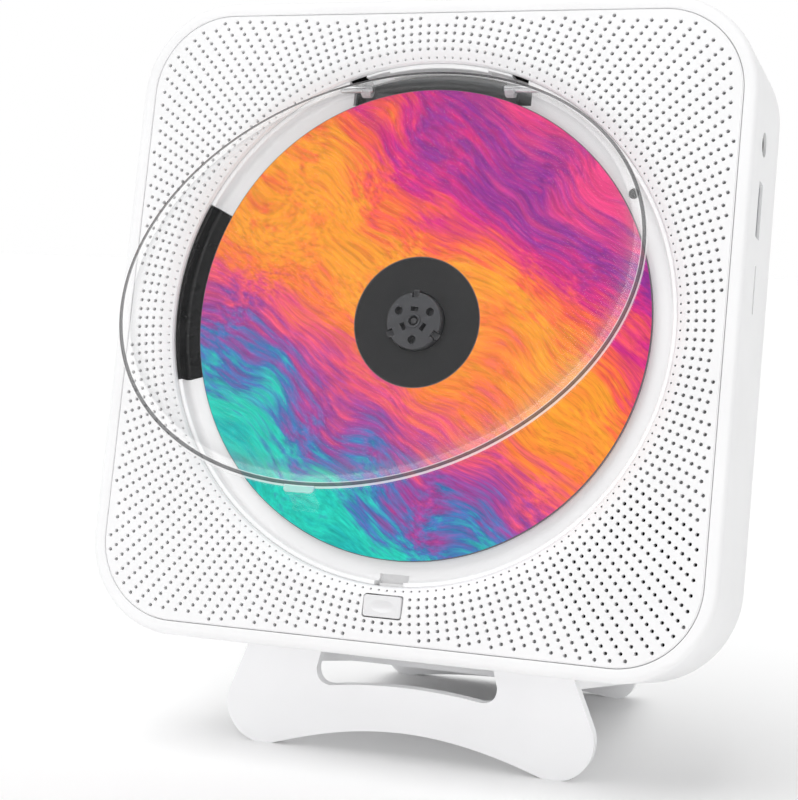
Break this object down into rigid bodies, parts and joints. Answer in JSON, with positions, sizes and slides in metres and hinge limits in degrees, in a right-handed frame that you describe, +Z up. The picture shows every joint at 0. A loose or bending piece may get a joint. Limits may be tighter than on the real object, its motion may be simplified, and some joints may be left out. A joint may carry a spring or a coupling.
{
  "type": "wall mounted cd player",
  "caption": "Square disc player for a wall or its leaning table stand, with a clear hinged lid, round disc well, grille front and side sockets.",
  "frame": {"origin": "middle of the bounding box at the table surface under the stand", "axes": "+X to the right as seen from the front, +Y to the back, +Z up; the player leans back by 11 degrees"},
  "size_m": [0.1636, 0.1672, 0.1934],
  "materials": {
    "housing_white": "satin white moulding",
    "tray_white": "smooth white moulding",
    "stand_white": "smooth white moulding",
    "clear_plastic": "clear, polished",
    "smoked_plastic": "dark smoked, polished",
    "black_plastic": "black moulding",
    "hub_plastic": "dark grey moulding",
    "black_rubber": "soft black rubber",
    "board_green": "green circuit board",
    "steel": "ground steel",
    "zinc_plate": "zinc plated steel",
    "bright_nickel": "bright nickel",
    "paper_cone": "coated paper",
    "lens_glass": "coated lens",
    "disc_print": "printed, clear lacquer"
  },
  "bodies": {
    "stand": {"table_stand": "stand_white", "stand_stud": "zinc_plate"},
    "player": {"main_housing": "housing_white", "grille_panel": "housing_white", "disc_tray": "tray_white", "tray_screw_1": "zinc_plate", "tray_screw_2": "zinc_plate", "tray_screw_3": "zinc_plate", "tray_screw_4": "zinc_plate", "display_window": "smoked_plastic", "display_digits": "black_plastic", "display_board": "board_green", "ir_window": "smoked_plastic", "spindle_motor": "bright_nickel", "drive_chassis": "black_plastic", "guide_rod_left": "steel", "guide_rod_right": "steel", "damper_1": "black_rubber", "damper_2": "black_rubber", "damper_3": "black_rubber", "damper_screw_1": "zinc_plate", "damper_screw_2": "zinc_plate", "damper_screw_3": "zinc_plate", "sled_motor": "bright_nickel", "hinge_pin_left": "steel", "hinge_pin_right": "steel", "hinge_trough": "black_plastic", "lid_spring": "steel", "latch_guide": "tray_white", "latch_spring": "steel", "speaker_basket_left": "black_plastic", "speaker_cone_left": "paper_cone", "speaker_magnet_left": "zinc_plate", "speaker_basket_right": "black_plastic", "speaker_cone_right": "paper_cone", "speaker_magnet_right": "zinc_plate", "main_board": "board_green", "ir_receiver": "black_plastic", "audio_jack": "black_plastic", "usb_socket": "zinc_plate", "card_socket": "zinc_plate", "power_socket": "zinc_plate", "power_board": "board_green", "rear_cover": "housing_white", "rear_screw_1": "zinc_plate", "rear_screw_2": "zinc_plate", "rear_screw_3": "zinc_plate", "rear_screw_4": "zinc_plate"},
    "lid": {"dust_cover": "clear_plastic"},
    "turntable": {"turntable": "hub_plastic", "spindle_shaft": "steel", "compact_disc": "disc_print"},
    "claw_1": {"chucking_claw_1": "hub_plastic"},
    "claw_2": {"chucking_claw_2": "hub_plastic"},
    "claw_3": {"chucking_claw_3": "hub_plastic"},
    "button": {"open_button": "tray_white"},
    "latch": {"latch_slider": "tray_white"},
    "sled": {"pickup_sled": "black_plastic", "pickup_lens": "lens_glass"},
    "lead_screw": {"lead_screw": "steel"}
  },
  "joints": [
    {"name": "player_lift", "type": "slide", "parent": "stand", "child": "player", "axis": [0, 0.1908, 0.9816], "range_m": [0, 0.01]},
    {"name": "lid_hinge", "type": "hinge", "parent": "player", "child": "lid", "pos_m": [0, -0.00062, 0.1709], "axis": [-1, 0, 0], "range_deg": [-29.3, 30.7]},
    {"name": "disc_spin", "type": "hinge", "parent": "player", "child": "turntable", "pos_m": [0, -0.01166, 0.11202], "axis": [0, 0.9816, -0.1908], "continuous": true},
    {"name": "open_button_press", "type": "slide", "parent": "player", "child": "button", "axis": [0, 0.9816, -0.1908], "range_m": [0, 0.0012], "stiffness_N_per_m": 400, "springref_m": -0.001},
    {"name": "latch_slide", "type": "slide", "parent": "player", "child": "latch", "axis": [0, -0.1908, -0.9816], "range_m": [0, 0.001]},
    {"name": "pickup_travel", "type": "slide", "parent": "player", "child": "sled", "axis": [0, -0.1908, -0.9816], "range_m": [0, 0.034]},
    {"name": "lead_screw_turn", "type": "hinge", "parent": "player", "child": "lead_screw", "pos_m": [0.0284, -0.00477, 0.07931], "axis": [0, -0.1908, -0.9816], "range_deg": [0, 4081]},
    {"name": "claw_1_press", "type": "slide", "parent": "turntable", "child": "claw_1", "axis": [0, -0.1908, -0.9816], "range_m": [0, 0.0008], "stiffness_N_per_m": 300, "springref_m": -0.0005},
    {"name": "claw_2_press", "type": "slide", "parent": "turntable", "child": "claw_2", "axis": [0.866, 0.0954, 0.4908], "range_m": [0, 0.0008], "stiffness_N_per_m": 300, "springref_m": -0.0005},
    {"name": "claw_3_press", "type": "slide", "parent": "turntable", "child": "claw_3", "axis": [-0.866, 0.0954, 0.4908], "range_m": [0, 0.0008], "stiffness_N_per_m": 300, "springref_m": -0.0005}
  ],
  "couplings": [
    {"joint": "latch_slide", "follows": "open_button_press", "ratio": 0.8333},
    {"joint": "lead_screw_turn", "follows": "pickup_travel", "rad_per_m": 2094.4}
  ]
}
